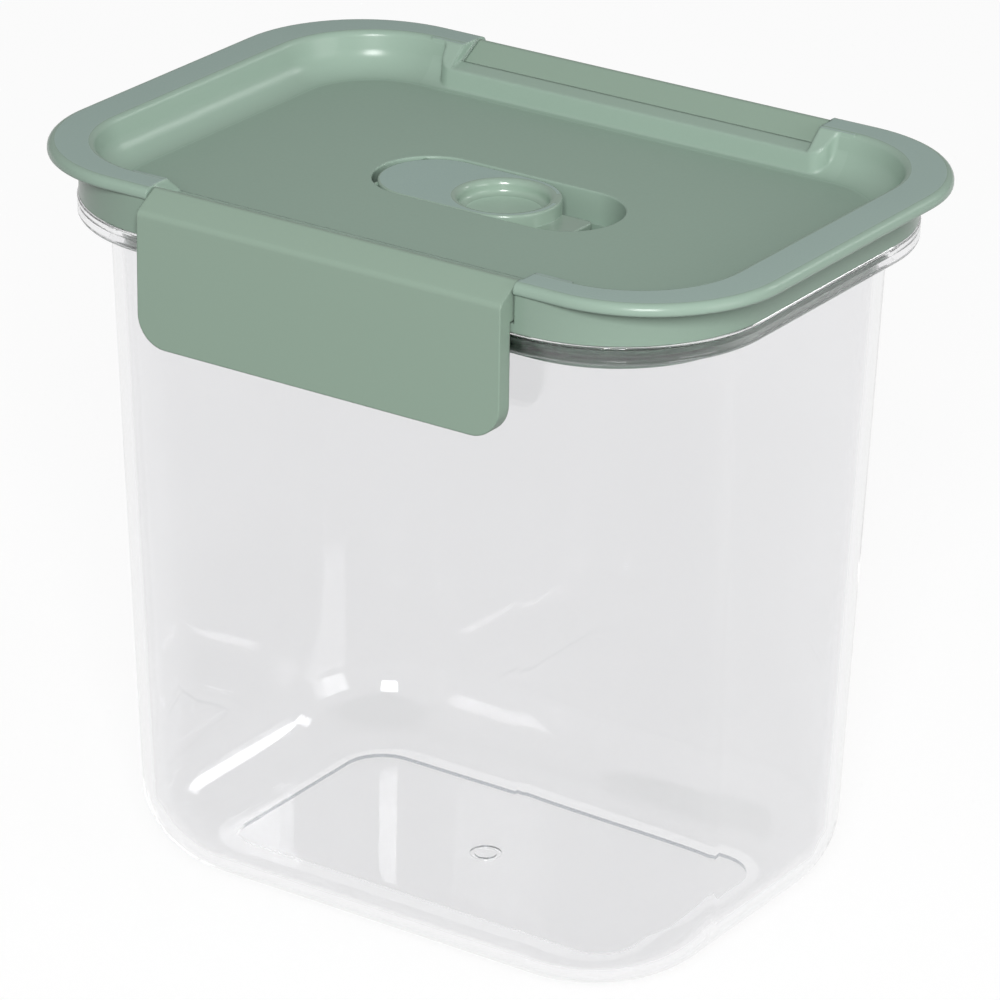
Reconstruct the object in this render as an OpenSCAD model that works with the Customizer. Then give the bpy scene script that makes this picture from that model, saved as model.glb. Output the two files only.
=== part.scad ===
// Clear food storage container with a latched lid and a flip-up vent.
// Millimetres. The origin is the centre of the base, +Z is up, +X runs along the long side,
// and the latches sit on the -Y (front) and +Y (rear) sides.

/* [Body] */
// Outer length of the body's wall at its mouth
body_l = 142.6; // [125:0.1:180]
// Outer width of the body's wall at its mouth
body_w = 104.4; // [92:0.1:130]
// Height of the body, from the surface it stands on to the top of its flange
body_h = 145.4; // [90:0.1:220]
// Plan radius of the body's corners
corner_r = 28.9; // [26:0.1:34]
// How far each side draws in from the mouth down to the foot
body_taper = 4.2; // [1:0.1:6]
// Thickness of the body's wall
wall = 2.2; // [1.6:0.1:3]
// Thickness of the body's floor
floor_t = 2.4; // [1.8:0.1:4]
// Outer radius where the wall turns into the floor
foot_r = 16.5; // [8:0.1:18]

/* [Flange] */
// How far the flange stands out of the wall
flange_out = 5.5; // [4:0.1:7]
// Height of the flange, from its lower edge to the mouth
flange_h = 3.8; // [3:0.1:6]
// Thickness of the flange's top and of its turned-down lip
flange_t = 2; // [1.4:0.1:2.4]
// Radius on the flange's outer edges
flange_edge_r = 0.8; // [0.4:0.1:1]
// How much tighter than the wall the corners of the flange and of the lid's skirt run
corner_tight = 1.8; // [0:0.1:2]

/* [Base] */
// Length of the shallow recess under the base
recess_l = 97; // [60:0.1:98]
// Width of the shallow recess under the base
recess_w = 55; // [30:0.1:58]
// Plan radius of the recess's corners
recess_r = 9; // [4:0.1:12]
// Depth of the recess
recess_d = 0.8; // [0.3:0.1:1.2]
// Diameter of the moulding mark at the centre of the recess
gate_d = 6.6; // [3:0.1:10]
// Depth of the moulding mark
gate_h = 0.4; // [0.2:0.1:0.6]

/* [Lid] */
// Gap between the lid's seat and the top of the flange
seat_gap = 0.3; // [0.1:0.1:0.6]
// How far inside the flange's edge the lid's skirt lies
skirt_in = 0.3; // [0:0.1:1]
// Height of the skirt, from the seat to the underside of the rim
skirt_h = 7.5; // [6.5:0.1:12]
// Thickness of the rim's outer edge
rim_t = 2.4; // [1.6:0.1:3.5]
// How far the rim overhangs the skirt on the short sides
rim_over_x = 6; // [3:0.1:8]
// How far the rim overhangs the skirt on the long sides
rim_over_y = 0.6; // [0.3:0.1:1.5]
// Plan radius of the rim's corners
rim_r = 29.8; // [27:0.1:34]
// Radius on the rim's upper outer edge
rim_edge_r = 1.5; // [0.5:0.1:1.6]
// Width of the rim's flat top on the short sides
rim_flat_x = 9.8; // [7:0.1:12]
// Width of the rim's flat top on the long sides
rim_flat_y = 7.5; // [7:0.1:10]
// How far the well's wall draws in from the rim down to the panel
well_draft = 2; // [0.5:0.1:3]
// Radius where the well's wall meets the panel
well_fillet = 6.5; // [2:0.1:7]
// Thickness of the panel over the seat
seat_t = 1.3; // [1:0.1:2]
// Thickness of the panel inside the plug
panel_t = 2.1; // [1.6:0.1:3]

/* [Plug and gasket] */
// Gap between the plug and the inside of the body
plug_gap = 0.5; // [0.3:0.1:1]
// How far the plug reaches down into the mouth
plug_h = 7.6; // [6:0.1:12]
// Thickness of the plug's wall
plug_t = 3.4; // [2.8:0.1:5]
// Depth of the gasket's groove
groove_d = 1.6; // [1:0.1:2.2]
// Height of the gasket's groove
groove_h = 3.4; // [2.4:0.1:4]
// Height of the plug's wall under the groove
groove_up = 1.4; // [1:0.1:2]
// Gap between the gasket and its groove, above and below
gasket_play = 0.1; // [0.05:0.01:0.3]
// Gap left between the gasket's lips and the inside of the body
gasket_gap = 0.2; // [0.1:0.05:0.4]
// Height of each of the gasket's two lips
gasket_lip_h = 1; // [0.6:0.1:1.1]
// How far the gasket's lips stand out of its band
gasket_lip_out = 0.9; // [0.3:0.1:1]

/* [Latches] */
// How far a latch's face stands out past the skirt
latch_out = 4.1; // [3.5:0.1:6]
// How far a latch hangs down from the top of the rim
latch_drop = 30.9; // [24:0.1:45]
// Thickness of a latch's plate
latch_t = 2.2; // [1.6:0.1:2.6]
// Depth of a latch's turned-in edges
latch_edge = 3.4; // [2.8:0.1:3.5]
// Thickness of a latch's turned-in edges
latch_edge_t = 1.9; // [1.2:0.1:3]
// Radius of a latch's two lower corners
latch_corner_r = 6.5; // [3:0.1:10]
// How far below the top of the rim a latch's face starts, at its fold
fold_drop = 3.6; // [3:0.1:4.5]
// How far inside the skirt a latch's crest lies
crest_in = 1.9; // [1:0.1:2.4]
// How far inside the skirt a latch reaches over the lid
latch_reach = 7.6; // [7.2:0.1:8]
// How far below the top of the rim a latch's inner edge lies
inner_drop = 3.3; // [2.8:0.1:3.6]
// Gap at each end of a latch
latch_end_gap = 0.35; // [0.2:0.05:0.8]
// Gap between a latch's inner edge and the ridge
hinge_gap = 0.6; // [0.4:0.1:1]
// Length of each of a latch's three knuckles
knuckle_l = 11; // [6:0.1:20]
// Gap between a knuckle and the floor of its notch
knuckle_gap = 0.5; // [0.3:0.1:0.8]
// Radius of a latch's hinge pin
pin_r = 1.15; // [0.8:0.05:1.3]
// How far a hinge pin runs into the lid at each end
pin_grip = 3.6; // [2:0.1:5]
// How far inside the skirt a hinge pin lies
pin_in = 3.4; // [3.2:0.1:3.6]
// Gap between the hook and the flange's lower edge
hook_gap = 0.6; // [0.5:0.1:1.2]
// Height of the hook
hook_h = 2.9; // [2:0.1:3.2]
// How far the hook reaches in under the flange
hook_reach = 1.8; // [1:0.1:1.9]
// Distance from the hook's end to the latch's end
hook_end = 5; // [3:0.1:20]

/* [Ridges] */
// Thickness of the ridge beside each latch
ridge_t = 3.5; // [2.5:0.1:5]
// Height of the ridge above the panel at its inner face
ridge_h = 4.5; // [3:0.1:5]
// How far the ridge runs on past each end of the latch
ridge_past = 3.2; // [3:0.1:8]
// How far the ends of the slope beside each latch flare out on their way up to the rim
ridge_flare = 2.8; // [0:0.1:5]
// Plan radius of the ridge's inner corners
ridge_r = 2; // [1:0.1:3]
// Thickness of the skirt's band under each latch's notch
notch_floor = 1.6; // [1.2:0.1:2]

/* [Vent] */
// Overall length of the vent's recess
vent_l = 55.7; // [45:0.1:70]
// Width of the vent's recess
vent_w = 24; // [20:0.1:30]
// Depth of the vent's recess below the panel
vent_d = 6.8; // [6:0.1:9]
// Thickness of the recess's wall and floor
vent_wall = 2.2; // [1.6:0.1:3]
// Gap between the flap and the recess
flap_gap = 0.35; // [0.25:0.05:0.8]
// Gap between the flap's hinged end and the recess
flap_end_gap = 1.25; // [1.2:0.05:1.6]
// How far the flap lies below the panel
flap_low = 0.2; // [0:0.1:0.5]
// Thickness of the flap
flap_t = 2; // [1.6:0.1:2.6]
// Distance of the cup's centre past the centre of the vent
cup_x = 1.45; // [-2:0.05:8]
// Diameter of the dish in the cup
dish_d = 18.5; // [12:0.1:20.5]
// Depth of the dish
dish_h = 3.2; // [1.5:0.1:3.4]
// Height of the cup
cup_h = 4.9; // [4.6:0.1:5.4]
// How far the lifting tab stands out of the cup
tab_l = 6.45; // [4:0.05:9]
// Width of the lifting tab
tab_w = 9.8; // [5:0.1:12]
// Thickness of the lifting tab
tab_t = 1.5; // [1:0.1:2]
// Height of the lifting tab above the cup's lower edge
tab_up = 0.4; // [0:0.1:1]
// Distance of the flap's hinge pin from the end of the recess
vent_pin_in = 4; // [3.8:0.05:4.4]
// Radius of the flap's hinge pin
vent_pin_r = 0.5; // [0.4:0.05:0.55]
// Material left over the flap's hinge pin
vent_pin_cover = 0.4; // [0.35:0.05:0.5]
// How far the flap's hinge pin runs into the recess's wall
vent_pin_grip = 1.4; // [1:0.1:1.6]
// Diameter of the vent's hole
vent_hole_d = 6; // [4:0.1:8]
// Diameter of the vent plug's pad
pad_d = 11; // [9.5:0.1:14]
// Diameter of the vent plug's stem in the cup
stem_d = 4; // [2.5:0.1:5]
// Length of the vent plug's stem
stem_h = 1.1; // [0.8:0.1:1.2]
// Gap between the vent plug's pad and the floor of the recess
pad_gap = 0.3; // [0.2:0.1:0.4]
// Gap between the vent plug's nose and its hole
nose_gap = 0.8; // [0.6:0.1:1.2]
// Length of the vent plug's nose
nose_h = 1.6; // [0.8:0.1:2]

/* [Fits] */
// Running clearance on the radius of a hinge pin
run_gap = 0.05; // [0.02:0.01:0.1]
// Gap on the radius of a piece that is pressed in
press_gap = 0.02; // [0.01:0.01:0.04]
// Clearance at a blind hole's end
end_gap = 0.3; // [0.2:0.1:0.6]

/* [Hidden] */
$fn = 96;
arc_steps = 8;
// Overlap that makes a cut pass cleanly through a face
cut = 1;
clear_plastic = [0.90, 0.92, 0.93, 0.45];
green_plastic = [0.52, 0.62, 0.56];
pale_silicone = [0.80, 0.83, 0.80];
steel = [0.72, 0.73, 0.74];

// Levels, from the base upwards
flange_z = body_h - flange_h;
seat_z = body_h + seat_gap;
panel_z = seat_z + seat_t;
lip_z = seat_z + skirt_h;
top_z = lip_z + rim_t;
plug_z = body_h - plug_h;

// Plans, as half sizes between corner centres and radii round them
core = [body_l / 2 - corner_r, body_w / 2 - corner_r];
foot_core = core - [body_taper, body_taper];
flange_core = core + [corner_tight, corner_tight];
flange_r = corner_r + flange_out;
skirt_r = flange_r - skirt_in;
skirt_y = core.y + skirt_r;
rim_core = [core.x + skirt_r + rim_over_x - rim_r, skirt_y + rim_over_y - rim_r];
well_core = rim_core - [rim_flat_x - rim_flat_y, 0];
well_r = rim_r - rim_flat_y;
mouth_r = corner_r - wall - body_taper * plug_h / (body_h - foot_r);
plug_r = mouth_r - plug_gap;

// Latch and hinge, where o is the distance out from the middle of the container
face_o = skirt_y + latch_out;
back_o = face_o - latch_edge;
crest_o = skirt_y - crest_in;
inner_o = skirt_y - latch_reach;
notch_o = inner_o - hinge_gap;
ridge_o = notch_o - ridge_t;
pin_o = skirt_y - pin_in;
fold_z = top_z - fold_drop;
inner_z = top_z - inner_drop;
pin_z = fold_z;
latch_z = top_z - latch_drop;
ridge_z = panel_z + ridge_h;
notch_z = seat_z + notch_floor;
knuckle_r = pin_z - notch_z - knuckle_gap;
latch_half = core.x;
notch_half = latch_half + latch_end_gap;
ridge_half = notch_half + ridge_past;
pin_half = notch_half + pin_grip;
hook_z = flange_z - hook_gap - hook_h;
hook_o = core.y + flange_r - hook_reach;

// Vent
vent_r = vent_w / 2;
vent_c = vent_l / 2 - vent_r;
vent_z = panel_z - vent_d;
flap_z = panel_z - flap_low;
flap_r = vent_r - flap_gap;
cup_z = flap_z - cup_h;
vent_pin_x = vent_pin_in - vent_l / 2;
vent_pin_z = flap_z - vent_pin_cover - vent_pin_r;
vent_pin_half = sqrt(pow(vent_r, 2) - pow(vent_r - vent_pin_in, 2)) + vent_pin_grip;
nose_r = vent_hole_d / 2 - nose_gap;

// Points along an arc of radius r round c, from angle a to angle b
function arc(c, r, a, b) = [
    for (i = [0:arc_steps])
        let (t = a + (b - a) * i / arc_steps)
        c + r * [cos(t), sin(t)]
];

// Plan of a rounded rectangle, from the half sizes between its corner centres
module plan(half, r) {
    square([2 * (half.x + r), 2 * half.y], center = true);
    square([2 * half.x, 2 * (half.y + r)], center = true);
    for (sx = [-1, 1], sy = [-1, 1])
        translate([sx * half.x, sy * half.y]) circle(r);
}

// Block with a rounded-rectangle plan
module slab(half, r, low, high) {
    translate([0, 0, low]) linear_extrude(high - low) plan(half, r);
}

// Sweeps a section round a rounded rectangle; the section's x runs outwards from the corner centres
module sweep(half) {
    for (i = [0:3]) {
        at = i % 2 == 0 ? half : [half.y, half.x];
        rotate([0, 0, 90 * i]) translate([at.x, at.y, 0]) {
            rotate_extrude(angle = 90) children();
            rotate([90, 0, 0]) linear_extrude(2 * at.y) children();
        }
    }
}

// Extrudes an outline of points [o, z] along the long side, to half its length each way
module along(half_l) {
    rotate([90, 0, -90]) translate([0, 0, -half_l]) linear_extrude(2 * half_l) children();
}

// Plan of the vent's recess or flap, a slot from x = a to x = b between its end centres
module slot(a, b, r) {
    translate([a, -r]) square([b - a, 2 * r]);
    for (x = [a, b]) translate([x, 0]) circle(r);
}

// Tapered block with rounded corners and a rounded foot, from a level up past the mouth
module body_block(r, edge_r, low, high) {
    hull() for (sx = [-1, 1], sy = [-1, 1]) {
        translate([sx * foot_core.x, sy * foot_core.y, low]) rotate_extrude()
            polygon(concat([[0, 0]], arc([r - edge_r, edge_r], edge_r, -90, 0), [[0, edge_r]]));
        translate([sx * core.x, sy * core.y, body_h]) cylinder(r = r, h = high - body_h);
    }
}

// Section of the turned-down flange round the mouth
module flange_section() {
    out_r = flange_r - corner_tight;
    root_r = corner_r - corner_tight - wall / 2;
    lip_r = out_r - flange_t;
    under_z = body_h - flange_t;
    e = flange_edge_r;
    polygon(concat(
        [[root_r, under_z], [lip_r, under_z], [lip_r, flange_z]],
        arc([out_r - e, flange_z + e], e, -90, 0),
        arc([out_r - e, body_h - e], e, 0, 90),
        [[root_r, body_h]]
    ));
}

module container_body() {
    color(clear_plastic) {
        difference() {
            body_block(corner_r, foot_r, 0, body_h + cut);
            body_block(corner_r - wall, foot_r - wall, floor_t, body_h + 2 * cut);
            translate([-body_l, -body_w, body_h]) cube([2 * body_l, 2 * body_w, 2 * cut]);
            slab([recess_l / 2 - recess_r, recess_w / 2 - recess_r], recess_r, -cut, recess_d);
            translate([0, 0, -cut]) cylinder(d = gate_d, h = cut + recess_d + gate_h);
        }
        sweep(flange_core) flange_section();
    }
}

// Section of the rim that overhangs the skirt, with rounded outer edges
module rim_section() {
    under_r = rim_t - rim_edge_r;
    polygon(concat(
        [[well_r - well_draft, lip_z]],
        arc([rim_r - under_r, lip_z + under_r], under_r, -90, 0),
        arc([rim_r - rim_edge_r, top_z - rim_edge_r], rim_edge_r, 0, 90),
        [[well_r - well_draft, top_z]]
    ));
}

// Section of the sunken well in the top of the lid
module well_section() {
    low_r = well_r - well_draft;
    lean = atan(well_draft / (top_z - panel_z));
    f = well_fillet;
    c = [low_r + f * tan(lean) - f / cos(lean), panel_z + f];
    over_z = top_z + cut;
    polygon(concat(
        [[0, panel_z]],
        arc(c, f, -90, -lean),
        [[low_r + (over_z - panel_z) * tan(lean), over_z], [0, over_z]]
    ));
}

// Section of the wall that reaches into the mouth, with the gasket's groove
module plug_section() {
    low = plug_z + groove_up;
    polygon([
        [plug_r - plug_t, plug_z], [plug_r, plug_z], [plug_r, low], [plug_r - groove_d, low],
        [plug_r - groove_d, low + groove_h], [plug_r, low + groove_h], [plug_r, panel_z],
        [plug_r - plug_t, panel_z]
    ]);
}

// Outline of the ridge and of the slope that runs from it up to the rim
module ridge_outline(low) {
    polygon([
        [ridge_o, low], [ridge_o, ridge_z], [notch_o, inner_z], [crest_o, top_z], [crest_o, low]
    ]);
}

// Plan that the ridge keeps to, with rounded inner corners
module ridge_plan() {
    h = ridge_half;
    translate([-h, -skirt_y]) square([2 * h, skirt_y - ridge_o - ridge_r]);
    translate([ridge_r - h, -skirt_y]) square([2 * (h - ridge_r), skirt_y - ridge_o]);
    for (s = [-1, 1]) translate([s * (h - ridge_r), -ridge_o - ridge_r]) circle(ridge_r);
}

// Ridge beside the front latch
module ridge() {
    intersection() {
        along(ridge_half) ridge_outline(seat_z);
        translate([0, 0, seat_z]) linear_extrude(top_z) ridge_plan();
    }
}

// Space over the ridge's slope, taken out of the rim, with ends that flare out upwards
module ridge_space() {
    flare = ridge_flare / (top_z - ridge_z);
    over_z = top_z + cut;
    over_half = ridge_half + flare * (over_z - ridge_z);
    intersection() {
        along(over_half) polygon([
            [ridge_o, over_z], [ridge_o, ridge_z], [notch_o, inner_z], [crest_o, top_z], [crest_o, over_z]
        ]);
        stand(ridge_o - cut, skirt_y) polygon([
            [-ridge_half, ridge_z], [ridge_half, ridge_z], [over_half, over_z], [-over_half, over_z]
        ]);
    }
}

// Notch that a latch lies in, with the blind holes for its pin
module notch() {
    along(notch_half) polygon([
        [notch_o, notch_z], [face_o, notch_z], [face_o, top_z + cut], [notch_o, top_z + cut]
    ]);
    along(pin_half + end_gap) translate([pin_o, pin_z]) circle(pin_r + run_gap);
}

// Pocket of the vent's recess, under the panel
module vent_pocket() {
    translate([0, 0, vent_z - vent_wall]) linear_extrude(panel_z - vent_z + vent_wall)
        slot(-vent_c, vent_c, vent_r + vent_wall);
}

// Space inside the vent's recess, with its hole and the holes for the flap's pin
module vent_space() {
    translate([0, 0, vent_z]) linear_extrude(vent_d + cut) slot(-vent_c, vent_c, vent_r);
    translate([cup_x, 0, vent_z - vent_wall - cut]) cylinder(d = vent_hole_d, h = vent_wall + 2 * cut);
    translate([vent_pin_x, 0, vent_pin_z]) rotate([90, 0, 0])
        cylinder(r = vent_pin_r + run_gap, h = 2 * (vent_pin_half + end_gap), center = true);
}

module lid() {
    color(green_plastic) difference() {
        union() {
            difference() {
                union() {
                    slab(flange_core, skirt_r - corner_tight, seat_z, top_z);
                    sweep(rim_core) rim_section();
                }
                sweep(well_core) well_section();
                translate([-well_core.x, -well_core.y, panel_z])
                    cube([2 * well_core.x, 2 * well_core.y, top_z]);
                for (side = [0, 1]) mirror([0, side, 0]) ridge_space();
            }
            for (side = [0, 1]) mirror([0, side, 0]) ridge();
            slab(core, plug_r, panel_z - panel_t, panel_z);
            sweep(core) plug_section();
            vent_pocket();
        }
        for (side = [0, 1]) mirror([0, side, 0]) notch();
        vent_space();
    }
}

module lid_gasket() {
    low = plug_z + groove_up + gasket_play;
    high = low + groove_h - 2 * gasket_play;
    lip_x = mouth_r - gasket_gap;
    band_x = lip_x - gasket_lip_out;
    color(pale_silicone) sweep(core) polygon([
        [plug_r - groove_d + press_gap, low], [lip_x, low], [lip_x, low + gasket_lip_h],
        [band_x, low + gasket_lip_h], [band_x, high - gasket_lip_h], [lip_x, high - gasket_lip_h],
        [lip_x, high], [plug_r - groove_d + press_gap, high]
    ]);
}

// Face of a latch, seen from the front, drawn in by a margin; z runs up from the bottom of the latch
module latch_face(margin, high) {
    w = latch_half - margin;
    r = latch_corner_r - margin;
    translate([-w, latch_z + margin + r]) square([2 * w, high - latch_z - margin - r]);
    translate([r - w, latch_z + margin]) square([2 * (w - r), r]);
    for (s = [-1, 1]) translate([s * (w - r), latch_z + margin + r]) circle(r);
}

// Stands a face up on the front side, between two distances out
module stand(near, far) {
    translate([0, -near, 0]) rotate([90, 0, 0]) linear_extrude(far - near) children();
}

// Roof of a latch, from its inner edge over the crest to the fold
module roof_outline(depth) {
    polygon([
        [inner_o, inner_z], [crest_o, top_z], [face_o, fold_z], [face_o, fold_z - depth],
        [crest_o, top_z - depth], [inner_o, inner_z - depth]
    ]);
}

// Everything below a latch's roof
module under_roof() {
    polygon([
        [inner_o, inner_z], [crest_o, top_z], [face_o, fold_z], [face_o, notch_z], [inner_o, notch_z]
    ]);
}

// Round a hinge pin, kept under the roof
module knuckle_outline() {
    difference() {
        intersection() {
            translate([pin_o, pin_z]) circle(knuckle_r);
            under_roof();
        }
        translate([pin_o, pin_z]) circle(pin_r + press_gap);
    }
}

// Cheek that closes each end of a latch under its roof
module cheek_outline() {
    difference() {
        polygon([
            [pin_o, fold_z], [crest_o, top_z - latch_t], [face_o, fold_z - latch_t],
            [face_o, notch_z + knuckle_gap], [pin_o, notch_z + knuckle_gap]
        ]);
        translate([pin_o, pin_z]) circle(pin_r + press_gap);
    }
}

module latch() {
    knuckle_step = latch_half - knuckle_l / 2;
    cheek_step = latch_half - latch_edge_t / 2;
    color(green_plastic) {
        difference() {
            stand(back_o, face_o) latch_face(0, fold_z);
            stand(back_o - cut, face_o - latch_t) latch_face(latch_edge_t, fold_z + cut);
        }
        difference() {
            along(latch_half) roof_outline(latch_t);
            along(latch_half + cut) translate([pin_o, pin_z]) circle(pin_r + press_gap);
        }
        for (s = [-1:1]) translate([s * knuckle_step, 0, 0]) along(knuckle_l / 2) knuckle_outline();
        for (s = [-1, 1]) translate([s * cheek_step, 0, 0]) along(latch_edge_t / 2) cheek_outline();
        along(latch_half - hook_end) translate([hook_o, hook_z])
            square([face_o - latch_t - hook_o, hook_h]);
    }
}

// Steel rod along a latch's hinge line
module hinge_pin() {
    color(steel) along(pin_half) translate([pin_o, pin_z]) circle(pin_r);
}

module front_latch() {
    latch();
}

module rear_latch() {
    mirror([0, 1, 0]) latch();
}

module front_hinge_pin() {
    hinge_pin();
}

module rear_hinge_pin() {
    mirror([0, 1, 0]) hinge_pin();
}

module vent_flap() {
    dish_r = (pow(dish_d / 2, 2) + pow(dish_h, 2)) / (2 * dish_h);
    tab_end = cup_x + flap_r + tab_l;
    color(green_plastic) difference() {
        union() {
            translate([0, 0, flap_z - flap_t]) linear_extrude(flap_t)
                slot(flap_end_gap - flap_gap - vent_c, cup_x, flap_r);
            translate([cup_x, 0, cup_z]) cylinder(r = flap_r, h = cup_h);
            translate([cup_x, -tab_w / 2, cup_z + tab_up]) cube([tab_end - cup_x, tab_w, tab_t]);
        }
        translate([cup_x, 0, flap_z - dish_h + dish_r]) sphere(dish_r);
        translate([cup_x, 0, cup_z - cut]) cylinder(d = stem_d + 2 * press_gap, h = cut + stem_h + press_gap);
        translate([vent_pin_x, 0, vent_pin_z]) rotate([90, 0, 0])
            cylinder(r = vent_pin_r + press_gap, h = vent_w, center = true);
    }
}

module vent_hinge_pin() {
    color(green_plastic) translate([vent_pin_x, 0, vent_pin_z]) rotate([90, 0, 0])
        cylinder(r = vent_pin_r, h = 2 * vent_pin_half, center = true);
}

module vent_plug() {
    pad_z = vent_z + pad_gap;
    color(pale_silicone) translate([cup_x, 0, 0]) {
        translate([0, 0, pad_z]) cylinder(d = pad_d, h = cup_z - pad_z);
        translate([0, 0, cup_z]) cylinder(d = stem_d, h = stem_h);
        translate([0, 0, pad_z - nose_h]) cylinder(r = nose_r, h = nose_h);
    }
}

container_body();
lid();
lid_gasket();
front_latch();
front_hinge_pin();
rear_latch();
rear_hinge_pin();
vent_flap();
vent_hinge_pin();
vent_plug();
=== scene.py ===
"""Clear food storage container with a latched sage-green lid and a flip-up vent, dressed for a studio view.

Pieces are modelled in millimetres in the CAD frame (origin at the centre of the base, +Z up, +X along the
long side, latches on -Y and +Y) and turned into metres as they become objects.
"""
import logging
import math
from dataclasses import dataclass, field
from enum import Enum, IntEnum
from typing import Any, Callable, Iterable, Sequence

import bmesh
import bpy
from bmesh.types import BMEdge, BMesh, BMVert
from bpy.types import Material, MeshPolygon, NodeSocket, Object, World
from mathutils import Matrix, Quaternion, Vector


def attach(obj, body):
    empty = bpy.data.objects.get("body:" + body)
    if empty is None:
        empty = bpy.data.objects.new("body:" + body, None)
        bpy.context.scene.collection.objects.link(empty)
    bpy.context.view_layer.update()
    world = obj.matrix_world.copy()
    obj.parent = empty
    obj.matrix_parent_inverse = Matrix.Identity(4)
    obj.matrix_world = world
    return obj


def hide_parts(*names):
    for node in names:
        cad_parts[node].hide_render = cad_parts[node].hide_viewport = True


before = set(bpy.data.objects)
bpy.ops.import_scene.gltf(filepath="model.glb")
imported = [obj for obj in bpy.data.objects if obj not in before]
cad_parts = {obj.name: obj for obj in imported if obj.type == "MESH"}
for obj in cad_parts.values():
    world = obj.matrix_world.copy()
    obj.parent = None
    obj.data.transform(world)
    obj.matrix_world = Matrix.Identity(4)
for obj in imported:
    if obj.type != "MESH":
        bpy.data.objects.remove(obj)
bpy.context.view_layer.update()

LOG = logging.getLogger("container")
# A millimetre in metres
MM = 0.001

Point = tuple[float, float]
Spot = tuple[float, float, float]
Colour = tuple[float, float, float]
Screen = tuple[int, int, int]
Test = Callable[[Vector], bool]

# Plan shared by the pieces: half sizes between corner centres
CORE: Point = (42.4, 23.3)
OUTER_CORE: Point = (44.2, 25.1)
# Levels shared by the pieces
MOUTH_Z = 145.4
SEAT_Z = 145.45
PANEL_Z = 147.0
LIP_Z = 153.2
TOP_Z = 155.6
# Hinge line of a latch, as its distance out from the middle and its height
HINGE: Point = (54.0, 152.0)
HINGE_R = 1.15
# Hinge line of the vent flap, as its place along the container and its height
VENT_HINGE: Point = (-23.85, 145.9)
VENT_HINGE_R = 0.5
CUP_X = 1.45
# Gap round a pin that turns, and round what is fixed in its hole
TURNING_GAP = 0.05
FIXED_GAP = 0.02

# Distance under which two corners count as one
MERGE = 0.002
# Slack of a test that finds a corner by its place, and of a looser one
NEAR = 0.01
LOOSE = 0.05
# Height within which a face belongs to a level
LEVEL_BAND = 0.1
# Least rise of an edge that counts as upright
RISE = 0.5
# How far a form that cuts or joins another reaches past its surface
PAST = 1.0
# How far a form stays inside the one it joins, so that no two faces share a plane
SHY = 0.02
# Least upward part of a level face's normal, and most of an upright one's
LEVEL = 0.99
UPRIGHT = 0.1
# Least fold of a square edge in radians, and the fold in degrees from which an edge is shaded sharp
SQUARE = 1.0
SHARP = 32
# Faces round the corners of a sweep, and of the vent's parts
CORNER_STEPS = 20
VENT_STEPS = 24
# Sockets of a Mix node for colours: its factor, its two colours and its result
MIX_FACTOR, MIX_A, MIX_B, MIX_RESULT = 0, 6, 7, 2


class Side(Enum):
    """Long side of the container that a latch sits on."""

    FRONT = -1
    REAR = 1


class Join(Enum):
    """Way in which one form is set into another."""

    ADD = "UNION"
    CUT = "DIFFERENCE"


class Arc(IntEnum):
    """Faces across a rounding, from a hairline to the body's foot."""

    HAIR = 2
    SLIGHT = 3
    SOFT = 4
    BROAD = 5
    CUP = 6
    BLEND = 8
    CORNER = 10
    FOOT = 14


def on_hinge(x: float, side: Side = Side.FRONT) -> Spot:
    """Point of a latch's hinge line, by its place along the container."""
    return (x, side.value * HINGE[0], HINGE[1])


def on_vent_hinge(y: float) -> Spot:
    """Point of the vent flap's hinge line, by its place across the container."""
    return (VENT_HINGE[0], y, VENT_HINGE[1])


def once(items: Iterable[Any]) -> list[Any]:
    """Items in their order, each once."""
    return list(dict.fromkeys(items))


def corners(edges: Iterable[BMEdge]) -> list[BMVert]:
    """Corners of some edges, each once."""
    return once(vert for edge in edges for vert in edge.verts)


def discard(shape: Object) -> None:
    """Removes an object and its mesh.

    Args:
        shape: Object to remove.
    """
    data = shape.data
    bpy.data.objects.remove(shape)
    bpy.data.meshes.remove(data)


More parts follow.
